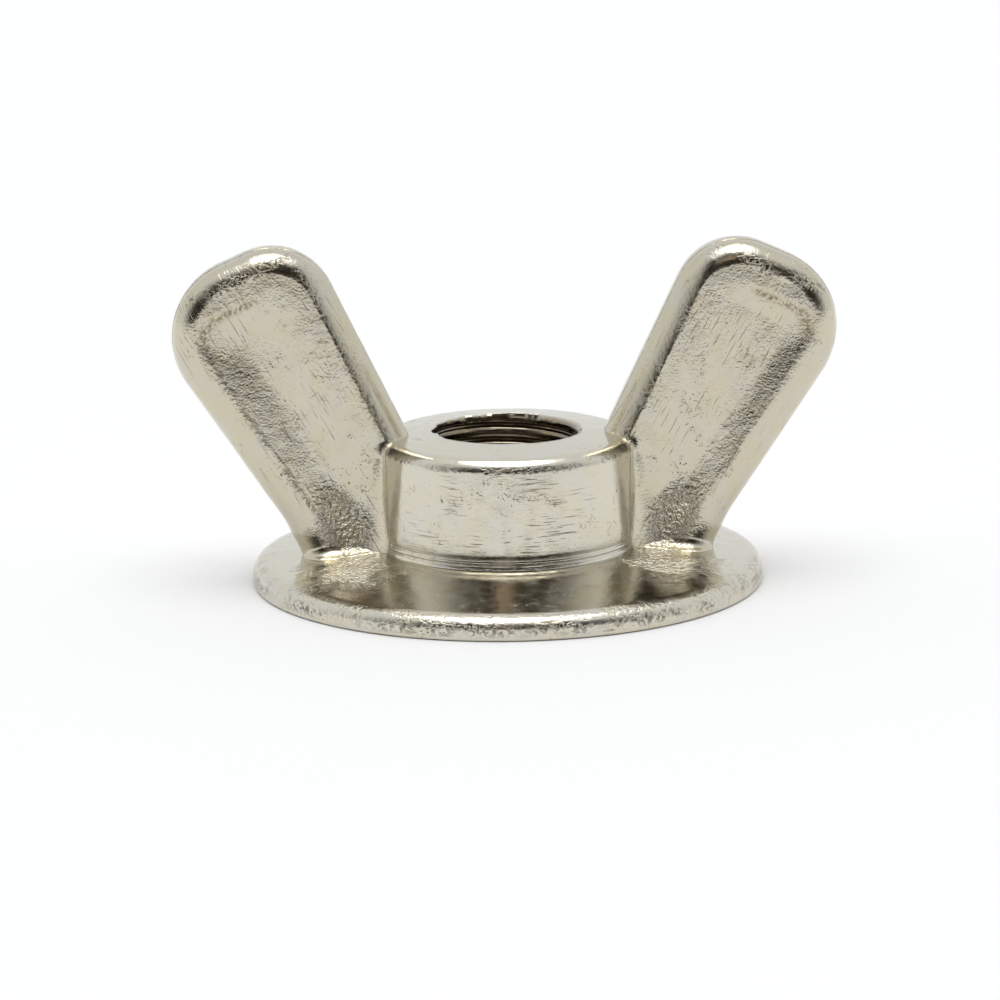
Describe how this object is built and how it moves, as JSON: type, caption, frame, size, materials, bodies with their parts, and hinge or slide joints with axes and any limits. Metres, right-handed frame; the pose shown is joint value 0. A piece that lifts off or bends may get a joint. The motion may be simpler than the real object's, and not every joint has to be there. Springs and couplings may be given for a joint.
{
  "type": "wing nut",
  "caption": "One-piece cast wing nut: threaded hub on a wide conical base flange, with two raised finger wings to tighten it by hand.",
  "frame": {"origin": "on the thread axis, in the plane of the bearing face under the flange", "axes": "+Z along the thread axis from the bearing face towards the wing tips, +X through the right wing, front face towards -Y"},
  "size_m": [0.0436, 0.0336, 0.0225],
  "materials": {
    "nickel_plate": "satin"
  },
  "bodies": {
    "root": {"threaded_hub": "nickel_plate", "base_flange": "nickel_plate", "right_wing": "nickel_plate", "left_wing": "nickel_plate"}
  },
  "joints": []
}
